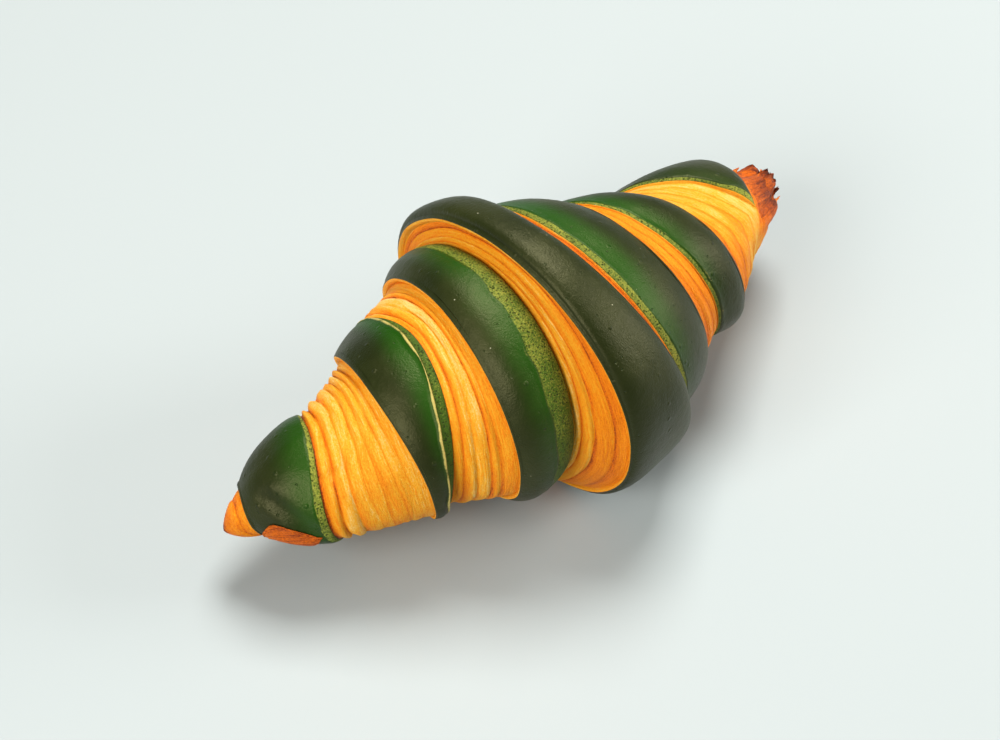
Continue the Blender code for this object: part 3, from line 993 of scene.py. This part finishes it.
@dataclass(frozen=True)
class LooseLayers:
    """Loose ends of layers that lie on one end of the roll. Sizes are in mm."""

    dough: DoughSkin
    side: Side
    flakes: tuple[Flake, ...]
    sunk: float = 0.5
    thickness: float = 0.4
    columns: int = 12
    steps: int = 12
    tone_rise: float = 0.12     # towards the free end
    uneven: float = 0.22        # how much the flakes' reach varies
    wobble: float = 6.0         # degrees that a pointed flake sways
    root_width: float = 1.0     # share of a flake's spread at its root
    opening: float = 2.0        # how soon a narrow root opens out: 2 is halfway to the free end
    narrowing: float = 1.6      # a power: how late a pointed flake narrows
    corner_round: float = 0.45  # how much shorter a blunt end is at its corners
    least_reach: float = 0.9
    lift_power: float = 1.5
    ripple: float = 0.5         # how much the lift varies across a flake
    past_lip: float = 0.15      # the points lie at least this far past the lip and from each other
    shown: float = 0.8          # share of the right tip, from its lip, that flakes can lie on
    ragged: GentleNoise = GentleNoise(21)

    FLAKE_SHIFT = 7.0           # apart in the noise, so that nothing repeats
    REACH_TRACK, REACH_SIZE = 0.5, 3.0
    RIPPLE_TRACK, RIPPLE_SIZE = 9.5, 2.2
    WOBBLE_SIZE = 2.0

    def surface(self, angle: float) -> Array:
        """Find the dough's surface that the flakes lie on.

        Args:
            angle: The winding angle.

        Returns:
            Its places and radii, from left to right.
        """
        dough, roll = self.dough, self.dough.roll
        if self.side is Side.LEFT:
            return dough.strip_row(roll.left, angle).points[:-roll.skin_columns:-1]
        outer = dough.tip_row(roll.right, angle, roll.lips(angle)[Side.RIGHT]).points
        return outer[:int(len(outer) * self.shown)]

    def flake_row(self, flake: Flake, number: int, across: float) -> tuple[Array, Array]:
        """Make one line of a flake, from its root to its free end.

        Args:
            flake: The flake.
            number: Its number.
            across: The line's place in the flake, from -1 to 1.

        Returns:
            The points in space, in metres, and their traits.
        """
        part = np.linspace(0.0, 1.0, self.columns + 1)
        shift = self.FLAKE_SHIFT * number
        opened = np.sin(np.clip(part * self.opening, 0.0, 1.0) * np.pi / 2)
        opened = self.root_width + (1.0 - self.root_width) * opened
        half = flake.spread / 2 * (1.0 - flake.point * part ** self.narrowing) * opened
        sway = flake.point * self.wobble * self.ragged.at(shift, part * self.WOBBLE_SIZE)
        angles = flake.angle + across * half + sway
        uneven = self.uneven * self.ragged.at(across * self.REACH_SIZE + shift, self.REACH_TRACK)
        shorter = self.corner_round * (1.0 - flake.point) * abs(across) ** 3
        reach = flake.reach * (self.least_reach + uneven) * (1.0 - shorter)
        under = [self.surface(angle) for angle in angles]
        past_lip = [row[0, 0] + self.past_lip * (1 + column) for column, row in enumerate(under)]
        place = np.maximum(flake.root + reach * part, past_lip)
        ripple = self.ragged.at(across * self.RIPPLE_SIZE + shift, self.RIPPLE_TRACK)
        lift = flake.lift * (1.0 + self.ripple * ripple) * part ** self.lift_power
        radius = np.array([np.interp(at, *row.T) for at, row in zip(place, under)])
        radius = radius - self.sunk * (1.0 - part) * (1.0 + across ** 2) + lift
        points = self.dough.in_space(np.stack((place, radius), axis=1), angles)
        row = Row.of(points, path=place, across=np.radians(angles) * self.dough.tip_radius,
                     seed=float(number), ridge=self.dough.tip_ridge, shade=1.0,
                     tone=flake.tone + self.tone_rise * part)
        return points, row.traits

    def build(self, name: str) -> bpy.types.Object:
        """Build all flakes as one piece of closed thin sheets.

        Args:
            name: The piece's name.

        Returns:
            The piece.
        """
        mesh = new_mesh()
        for number, flake in enumerate(self.flakes):
            lines = [self.flake_row(flake, number, across)
                     for across in np.linspace(-1.0, 1.0, self.steps + 1)]
            made = grid_through(mesh, [line[0] for line in lines], [line[1] for line in lines],
                                lambda step, column: 0)
            faces = list({face for vert in made for face in vert.link_faces})
            bmesh.ops.solidify(mesh, geom=faces, thickness=self.thickness * MM)
        return made_object(name, mesh)


RIGHT_TUFT = (
    Flake(1060.0, 44.0, 69.5, 9.5, 0.9, 0.84, 0.6), Flake(1084.0, 46.0, 67.5, 12.0, 1.2, 0.72, 0.6),
    Flake(1104.0, 38.0, 70.0, 10.5, 1.5, 0.80, 0.75), Flake(1122.0, 52.0, 66.0, 9.5, 1.1, 0.56, 0.3),
    Flake(1138.0, 36.0, 70.0, 10.5, 1.2, 0.84, 0.8), Flake(1156.0, 44.0, 67.0, 12.5, 1.1, 0.70, 0.6),
    Flake(1174.0, 36.0, 69.0, 11.5, 1.5, 0.88, 0.8), Flake(1192.0, 38.0, 67.5, 13.0, 1.8, 0.80, 0.7),
    Flake(1212.0, 36.0, 69.0, 11.0, 1.3, 0.84, 0.8), Flake(1232.0, 38.0, 69.2, 7.8, 0.4, 0.52, 0.7),
    Flake(1258.0, 46.0, 70.0, 5.0, 0.3, 0.36, 0.6), Flake(1290.0, 50.0, 69.6, 7.4, 0.7, 0.56, 0.6),
    Flake(1330.0, 52.0, 68.0, 10.0, 0.9, 0.78, 0.6), Flake(1370.0, 46.0, 68.0, 10.0, 0.9, 0.84, 0.6))
LEFT_LINING = (Flake(904.0, 84.0, -78.6, 11.6, 0.15, 0.70, 0.99),)


def new_mesh() -> bmesh.types.BMesh:
    """Start a mesh with the vector attributes that the finishes read.

    Returns:
        The empty mesh.
    """
    mesh = bmesh.new()
    for item in TraitVector:
        mesh.verts.layers.float_vector.new(item.name.lower())
    return mesh


def grid_through(mesh: bmesh.types.BMesh, places: list[Array], traits: list[Array],
                 slots: Any) -> list[bmesh.types.BMVert]:
    """Lay a grid through rows of points in space.

    Args:
        mesh: The mesh to add to.
        places: The rows of points, in metres, all of one length.
        traits: The rows of traits.
        slots: A function from step and column to a material slot.

    Returns:
        The grid's vertices.
    """
    columns, steps = len(places[0]) - 1, len(places) - 1
    layers = [mesh.verts.layers.float_vector[item.name.lower()] for item in TraitVector]
    made = bmesh.ops.create_grid(mesh, x_segments=columns, y_segments=steps, size=1.0)["verts"]
    for face in {face for vert in made for face in vert.link_faces}:
        middle = face.calc_center_median()
        face.material_index = slots(int((middle.y + 1) / 2 * steps), int((middle.x + 1) / 2 * columns))
    for vert in made:
        column, step = round((vert.co.x + 1) / 2 * columns), round((vert.co.y + 1) / 2 * steps)
        vert.co = places[step][column]
        for layer, vector in zip(layers, TraitVector):
            vert[layer] = [traits[step][column][item] for item in vector.value]
    return made


def made_object(name: str, mesh: bmesh.types.BMesh) -> bpy.types.Object:
    """Turn a mesh into a smooth object at the origin.

    Args:
        name: The object's name.
        mesh: Its mesh, which is freed.

    Returns:
        The object.
    """
    bmesh.ops.recalc_face_normals(mesh, faces=mesh.faces)
    data = bpy.data.meshes.new(name)
    mesh.to_mesh(data)
    mesh.free()
    data.shade_smooth()
    piece = bpy.data.objects.new(name, data)
    bpy.context.scene.collection.objects.link(piece)
    return piece


class Value:
    """A number in a shader, which can be used in sums: each operator adds a Math node."""

    def __init__(self, shader: "Shader", socket: bpy.types.NodeSocket) -> None:
        """Wrap a socket of a shader."""
        self.shader = shader
        self.socket = socket

    def math(self, operation: str, *others: Any, first: bool = True) -> "Value":
        """Add a Math node.

        Args:
            operation: The node's operation.
            others: Its other inputs, values or numbers.
            first: Whether this value is the first input.

        Returns:
            The node's result.
        """
        inputs = (self, *others) if first else (*others, self)
        node = self.shader.node("ShaderNodeMath", {"operation": operation}, dict(enumerate(inputs)))
        return Value(self.shader, node.outputs[0])

    def __add__(self, other: Any) -> "Value":
        """Add."""
        return self.math("ADD", other)

    __radd__ = __add__

    def __sub__(self, other: Any) -> "Value":
        """Subtract."""
        return self.math("SUBTRACT", other)

    def __rsub__(self, other: Any) -> "Value":
        """Subtract this value from a number."""
        return self.math("SUBTRACT", other, first=False)

    def __mul__(self, other: Any) -> "Value":
        """Multiply."""
        return self.math("MULTIPLY", other)

    __rmul__ = __mul__

    def smooth(self, low: float, high: float) -> "Value":
        """Return a smooth step from 0 at the low value to 1 at the high one."""
        node = self.shader.node("ShaderNodeMapRange", {"interpolation_type": "SMOOTHSTEP"},
                                {"Value": self, "From Min": low, "From Max": high})
        return Value(self.shader, node.outputs["Result"])


class Shader:
    """A material with one Principled shader, and short ways to add nodes to it."""

    def __init__(self, name: str, **constants: Any) -> None:
        """Make the material.

        Args:
            name: Its name.
            constants: Values of the shader's sockets that are the same all over, such as Roughness.
        """
        self.material = bpy.data.materials.new(name)
        self.material.use_nodes = True
        self.tree = self.material.node_tree
        self.surface = self.tree.nodes["Principled BSDF"]
        for socket, value in constants.items():
            self.surface.inputs[socket.replace("_", " ")].default_value = value

    def node(self, kind: str, settings: dict[str, Any], inputs: dict[Any, Any]) -> bpy.types.Node:
        """Add a node.

        Args:
            kind: Its type.
            settings: Its properties, set first; "stops" are a colour ramp's (place, colour) pairs.
            inputs: Its sockets' values or links, by name or number.

        Returns:
            The node.
        """
        node = self.tree.nodes.new(kind)
        for name, value in settings.items():
            if name == "stops":
                elements = node.color_ramp.elements
                while len(elements) < len(value):
                    elements.new(1.0)
                for element, (place, colour) in zip(elements, value):
                    element.position, element.color = place, (*colour, 1.0)
            else:
                setattr(node, name, value)
        for name, value in inputs.items():
            socket = node.inputs[name]
            source = value.socket if isinstance(value, Value) else value
            if isinstance(source, bpy.types.NodeSocket):
                self.tree.links.new(source, socket)
            else:
                socket.default_value = source
        return node

    def feed(self, name: str, source: Any) -> None:
        """Link a value or a colour to the shader's socket of that name."""
        self.tree.links.new(source.socket if isinstance(source, Value) else source, self.surface.inputs[name])

    def traits(self, vector: TraitVector) -> tuple[Value, Value, Value]:
        """Read one of the dough's vector attributes.

        Args:
            vector: The attribute.

        Returns:
            Its three values.
        """
        found = self.node("ShaderNodeAttribute", {"attribute_name": vector.name.lower()}, {})
        parts = self.node("ShaderNodeSeparateXYZ", {}, {0: found.outputs["Vector"]})
        return tuple(Value(self, parts.outputs[axis]) for axis in range(3))

    def position(self) -> bpy.types.NodeSocket:
        """Return the place on the object, in metres."""
        return self.node("ShaderNodeTexCoord", {}, {}).outputs["Object"]

    def scaled(self, values: Sequence[Value], scales: Place) -> bpy.types.NodeSocket:
        """Return a vector of three values, each at its own scale."""
        parts = [value * scale for value, scale in zip(values, scales)]
        return self.node("ShaderNodeCombineXYZ", {}, dict(enumerate(parts))).outputs[0]

    def noise(self, place: bpy.types.NodeSocket, scale: float, detail: float = 2.0,
              roughness: float = 0.5) -> Value:
        """Return noise from 0 to 1 at a place."""
        node = self.node("ShaderNodeTexNoise", {}, {
            "Vector": place, "Scale": scale, "Detail": detail, "Roughness": roughness})
        return Value(self, node.outputs[0])

    def spots(self, place: bpy.types.NodeSocket, scale: float) -> Value:
        """Return the distance to the nearest of scattered points."""
        node = self.node("ShaderNodeTexVoronoi", {}, {"Vector": place, "Scale": scale})
        return Value(self, node.outputs["Distance"])

    def ramp(self, value: Value, stops: Sequence[tuple[float, Colour]]) -> bpy.types.NodeSocket:
        """Return the colour of a value on a ramp."""
        return self.node("ShaderNodeValToRGB", {"stops": stops}, {0: value}).outputs["Color"]

    def mix(self, share: Any, first: Any, second: Any) -> bpy.types.NodeSocket:
        """Mix two colours.

        Args:
            share: The second colour's share.
            first: The first colour, a link or three numbers.
            second: The second colour.

        Returns:
            The mixed colour.
        """
        first, second = ((*item, 1.0) if isinstance(item, tuple) else item for item in (first, second))
        node = self.node("ShaderNodeMix", {"data_type": "RGBA"}, {"Factor": share, 6: first, 7: second})
        return node.outputs[2]

    def bump(self, height: Value, distance: float) -> None:
        """Feed the shader's normal with a bump of a height, whose full scale is a distance in metres."""
        node = self.node("ShaderNodeBump", {}, {"Height": height, "Distance": distance, "Strength": 1.0})
        self.feed("Normal", node.outputs[0])


@dataclass(frozen=True)
class SkinFinish:
    """The green dough skin: olive satin, fresh green by the rims, a speckled strip inside them."""

    olive: Colour = (0.019, 0.024, 0.005)
    dark_olive: Colour = (0.009, 0.014, 0.002)
    fresh: Colour = (0.008, 0.058, 0.001)
    strip_pale: Colour = (0.30, 0.30, 0.040)
    strip_green: Colour = (0.035, 0.085, 0.006)
    pore: Colour = (0.010, 0.022, 0.003)
    rim: Colour = (0.50, 0.40, 0.11)
    # painted shadow colour on the underside of each green lip
    lip_shadow: Colour = (0.016, 0.022, 0.007)
    # painted glints: the pale colour of scattered tiny highlights
    speck: Colour = (0.42, 0.40, 0.26)
    sheen: Colour = (1.0, 0.92, 0.48)
    cloud_scale: float = 60.0       # all scales are to a metre
    rim_scale: float = 130.0
    blotch_scale: float = 180.0
    pimple_scale: float = 210.0
    glint_scale: float = 300.0
    pit_scale: float = 330.0
    leather_scale: float = 420.0
    pore_scale: float = 1500.0
    grain_scale: float = 2600.0
    olive_span: Span = (0.35, 0.70)         # each span is where one colour turns into the next
    glint_clouds: Span = (0.45, 0.60)       # specks lie only in such clouds
    fresh_span: Span = (0.05, 0.95)
    pit_span: Span = (0.05, 0.12)           # for spots it is a distance from their middles
    pore_span: Span = (0.16, 0.46)
    pore_depth_span: Span = (0.10, 0.40)
    glint_span: Span = (0.03, 0.06)
    pimple_span: Span = (0.04, 0.14)
    strip_light: float = 0.42               # how much more of a pale strip is pale
    strip_span: Span = (0.95, 1.50)
    strip_end_span: Span = (0.30, 0.70)
    rim_span: Span = (0.35, 0.90)
    lip_shadow_span: Span = (0.35, 0.95)
    pit_share: float = 0.7                  # how strongly pits, pores and specks are coloured
    pore_share: float = 0.8
    glint_share: float = 0.8
    roughness: float = 0.32
    relief: float = 0.00014                 # full height of the bump, m

    def material(self) -> bpy.types.Material:
        """Make the material.

        Returns:
            The material.
        """
        shader = Shader("green_dough_skin", Metallic=0.0, Specular_IOR_Level=0.30,
                        Specular_Tint=(*self.sheen, 1.0))
        place = shader.position()
        fresh, speckle, rim = shader.traits(TraitVector.EDGE)
        _, light, shade = shader.traits(TraitVector.BAKE)
        clouds = shader.noise(place, self.cloud_scale, 3.0)
        grain = shader.noise(place, self.grain_scale, 3.0, 0.6)
        skin = shader.mix(clouds.smooth(*self.olive_span), self.dark_olive, self.olive)
        fresh = fresh * (clouds * 0.7 + grain * 0.3 + 0.6)
        skin = shader.mix(fresh.smooth(*self.fresh_span), skin, self.fresh)
        pits = 1.0 - shader.spots(place, self.pit_scale).smooth(*self.pit_span)
        skin = shader.mix(pits * self.pit_share, skin, self.pore)
        pores = shader.spots(place, self.pore_scale)
        speckles = shader.noise(place, self.grain_scale, 3.0, 0.8) * 1.3
        speckles = speckles + shader.noise(place, self.blotch_scale) * 0.4
        speckles = speckles + light * self.strip_light
        strip = shader.mix(speckles.smooth(*self.strip_span), self.strip_green, self.strip_pale)
        strip = shader.mix((1.0 - pores.smooth(*self.pore_span)) * self.pore_share, strip, self.pore)
        colour = shader.mix(speckle.smooth(*self.strip_end_span), skin, strip)
        broken = shader.noise(place, self.rim_scale, 4.0, 0.7) * 3.2 - 1.2
        rim = rim * (broken + 0.5) + (grain - 0.5) * 0.5
        colour = shader.mix(rim.smooth(*self.rim_span), colour, self.rim)
        # painted shadow: the lip's underside turns dark
        colour = shader.mix(shade.smooth(*self.lip_shadow_span), colour, self.lip_shadow)
        # painted glints: a few tiny pale specks in the clouds stand for highlights
        glints = 1.0 - shader.spots(place, self.glint_scale).smooth(*self.glint_span)
        glints = glints * clouds.smooth(*self.glint_clouds)
        colour = shader.mix(glints * self.glint_share, colour, self.speck)
        shader.feed("Base Color", colour)
        shader.feed("Roughness", self.roughness + clouds * 0.10 + grain * 0.10 + speckle * 0.25)
        pimples = 1.0 - shader.spots(place, self.pimple_scale).smooth(*self.pimple_span)
        leather = shader.noise(place, self.leather_scale, 3.0, 0.6)
        pored = (1.0 - pores.smooth(*self.pore_depth_span)) * speckle
        shader.bump(grain * 0.7 + leather * 1.2 + pimples * 1.2 - pits - pored, self.relief)
        return shader.material


@dataclass(frozen=True)
class LayerFinish:
    """The baked golden layers: streaks along the winding, pale on the ridges, with painted shade in the
    grooves and right under the lips.
    """

    # from tone 0 to 1: cream, yellow, orange, deep orange, brown, dark brown
    tones: tuple[tuple[float, Colour], ...] = (
        (0.0, (0.94, 0.62, 0.20)), (0.26, (0.92, 0.42, 0.022)), (0.52, (0.90, 0.26, 0.005)),
        (0.76, (0.72, 0.14, 0.003)), (0.92, (0.30, 0.044, 0.004)), (1.0, (0.08, 0.014, 0.003)))
    broad_scales: Place = (0.06, 0.45, 3.7)     # to a mm along the winding and across it, and to a layer
    streak_scales: Place = (0.13, 2.6, 1.3)
    fine_scales: Place = (0.6, 8.0, 1.0)
    grain_scale: float = 2200.0                 # to a metre
    groove_shade_span: Span = (0.0, 0.6)              # how high in its fold a point has to stand
    base_tone: float = 0.03
    # painted shade that darkens the grooves between folds
    groove_shade_tone: float = 0.20
    shade_tone: float = 0.30
    roughness: float = 0.42
    relief: float = 0.00035                     # full height of the bump, m

    def material(self) -> bpy.types.Material:
        """Make the material.

        Returns:
            The material.
        """
        shader = Shader("golden_layers", Metallic=0.0, Specular_IOR_Level=0.13)
        flow = shader.traits(TraitVector.FLOW)
        ridge, tone, shade = shader.traits(TraitVector.BAKE)
        broad = shader.noise(shader.scaled(flow, self.broad_scales), 1.0, 2.0)
        streaks = shader.noise(shader.scaled(flow, self.streak_scales), 1.0, 3.0, 0.7)
        fine = shader.noise(shader.scaled(flow, self.fine_scales), 1.0, 3.0, 0.75)
        grain = shader.noise(shader.position(), self.grain_scale, 2.0, 0.7)
        groove_shade = 1.0 - ridge.smooth(*self.groove_shade_span)
        mottle = (broad - 0.5) * 0.40 + (streaks - 0.5) * 0.66 + (fine - 0.5) * 0.60 + (grain - 0.5) * 0.46
        value = tone + self.base_tone + mottle * (1.30 - tone * 0.75)
        # painted shade: darker in the grooves between folds and right under a thick lip
        value = value + groove_shade * self.groove_shade_tone + (shade - 1.0) * self.shade_tone
        shader.feed("Base Color", shader.ramp(value, self.tones))
        shader.feed("Roughness", self.roughness + grain * 0.2)
        shader.bump(streaks * 0.9 + fine * 0.7 + grain * 0.5, self.relief)
        return shader.material


@dataclass(frozen=True)
class SoftLight:
    """A square soft light that faces the origin; azimuth 0 is the front, 90 the right tip's side."""

    azimuth: float              # degrees
    elevation: float
    distance: float             # m
    side: float
    watts: float


@dataclass(frozen=True)
class Studio:
    """The plain pale floor, the soft lights and the camera."""

    floor_side: float = 6.0
    floor_colour: Colour = (0.40, 0.435, 0.425)
    floor_cloud: float = 0.97           # tone of its faint clouds
    world_strength: float = 0.16
    world_colour: Colour = (1.0, 0.96, 0.86)
    target: Place = (-0.01229, 0.00272, 0.0264)
    distance: float = 0.55
    azimuth: float = -40.0
    elevation: float = 47.0
    lens: float = 87.34
    sensor: float = 36.0
    lights: tuple[SoftLight, ...] = (
        SoftLight(125.0, 66.0, 1.3, 0.6, 21.0), SoftLight(-78.0, 34.0, 1.2, 0.6, 14.0),
        SoftLight(60.0, 26.0, 1.2, 0.5, 9.0))

    def direction(self, azimuth: float, elevation: float) -> Vector:
        """Return the unit vector towards a place seen at an azimuth and elevation, in degrees."""
        turn, rise = np.radians(azimuth), np.radians(elevation)
        return Vector((np.sin(turn) * np.cos(rise), -np.cos(turn) * np.cos(rise), np.sin(rise)))

    def build_floor(self) -> None:
        """Lay the floor, with its top at the table plane."""
        mesh = bmesh.new()
        bmesh.ops.create_grid(mesh, x_segments=1, y_segments=1, size=self.floor_side / 2)
        floor = made_object("floor", mesh)
        shader = Shader("pale_floor", Roughness=0.6, Specular_IOR_Level=0.2)
        cloud = shader.noise(shader.position(), 1.5)
        clouded = tuple(self.floor_cloud * part for part in self.floor_colour)
        shader.feed("Base Color", shader.mix(cloud * 0.5, self.floor_colour, clouded))
        floor.data.materials.append(shader.material)

    def build_lights(self) -> None:
        """Hang the soft lights and set the pale surroundings."""
        for number, lamp in enumerate(self.lights):
            data = bpy.data.lights.new(f"soft_light_{number}", "AREA")
            data.size = lamp.side
            data.energy = lamp.watts
            light = bpy.data.objects.new(data.name, data)
            way = self.direction(lamp.azimuth, lamp.elevation)
            light.location = way * lamp.distance
            light.rotation_euler = way.to_track_quat("Z", "Y").to_euler()
            bpy.context.scene.collection.objects.link(light)
        world = bpy.data.worlds.new("pale_room")
        world.use_nodes = True
        background = world.node_tree.nodes["Background"]
        background.inputs["Color"].default_value = (*self.world_colour, 1.0)
        background.inputs["Strength"].default_value = self.world_strength
        bpy.context.scene.world = world
        bpy.context.scene.view_settings.view_transform = "Standard"

    def build_camera(self) -> None:
        """Set up the camera."""
        data = bpy.data.cameras.new("camera")
        data.lens = self.lens
        data.sensor_width = self.sensor
        camera = bpy.data.objects.new("camera", data)
        back = self.direction(self.azimuth, self.elevation)
        right = Vector((0.0, 0.0, 1.0)).cross(back).normalized()
        place = Matrix((right, back.cross(right), back)).transposed().to_4x4()
        place.translation = Vector(self.target) + back * self.distance
        camera.matrix_world = place
        bpy.context.scene.collection.objects.link(camera)
        bpy.context.scene.camera = camera


class Croissant:
    """The dressed croissant."""

    NODE = "croissant"
    MATERIAL_SLOT = "pastry"

    def __init__(self) -> None:
        """Make the finishes, and read how much room the solid gives."""
        self.skin = SkinFinish().material()
        self.layers = LayerFinish().material()
        self.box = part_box(self.NODE)

    def add(self, piece: bpy.types.Object, *materials: bpy.types.Material) -> None:
        """Give a piece its materials, and let it ride on the root in place of the solid.

        Args:
            piece: The piece.
            materials: Its materials, by slot.
        """
        for vert in piece.data.vertices:
            vert.co = [min(max(value, least), most) for value, least, most in zip(vert.co, *self.box)]
        for material in materials:
            piece.data.materials.append(material)
        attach(piece, "root")
        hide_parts(self.NODE)
        LOG.info("%s: %d faces", piece.name, len(piece.data.polygons))

    def build(self) -> None:
        """Build and dress every piece."""
        dough = DoughSkin()
        self.add(dough.build(), self.skin, self.layers)
        tuft = LooseLayers(dough, Side.RIGHT, RIGHT_TUFT)
        self.add(tuft.build("right_tuft"), self.layers)
        lining = LooseLayers(dough, Side.LEFT, LEFT_LINING, sunk=-0.25, uneven=0.05, wobble=0.0,
                             root_width=0.1, steps=28)
        self.add(lining.build("left_lining"), self.layers)


def main() -> None:
    """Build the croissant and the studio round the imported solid."""
    logging.basicConfig(level=logging.INFO, format="%(message)s")
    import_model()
    Croissant().build()
    studio = Studio()
    studio.build_floor()
    studio.build_lights()
    studio.build_camera()


if __name__ == "__main__":
    main()
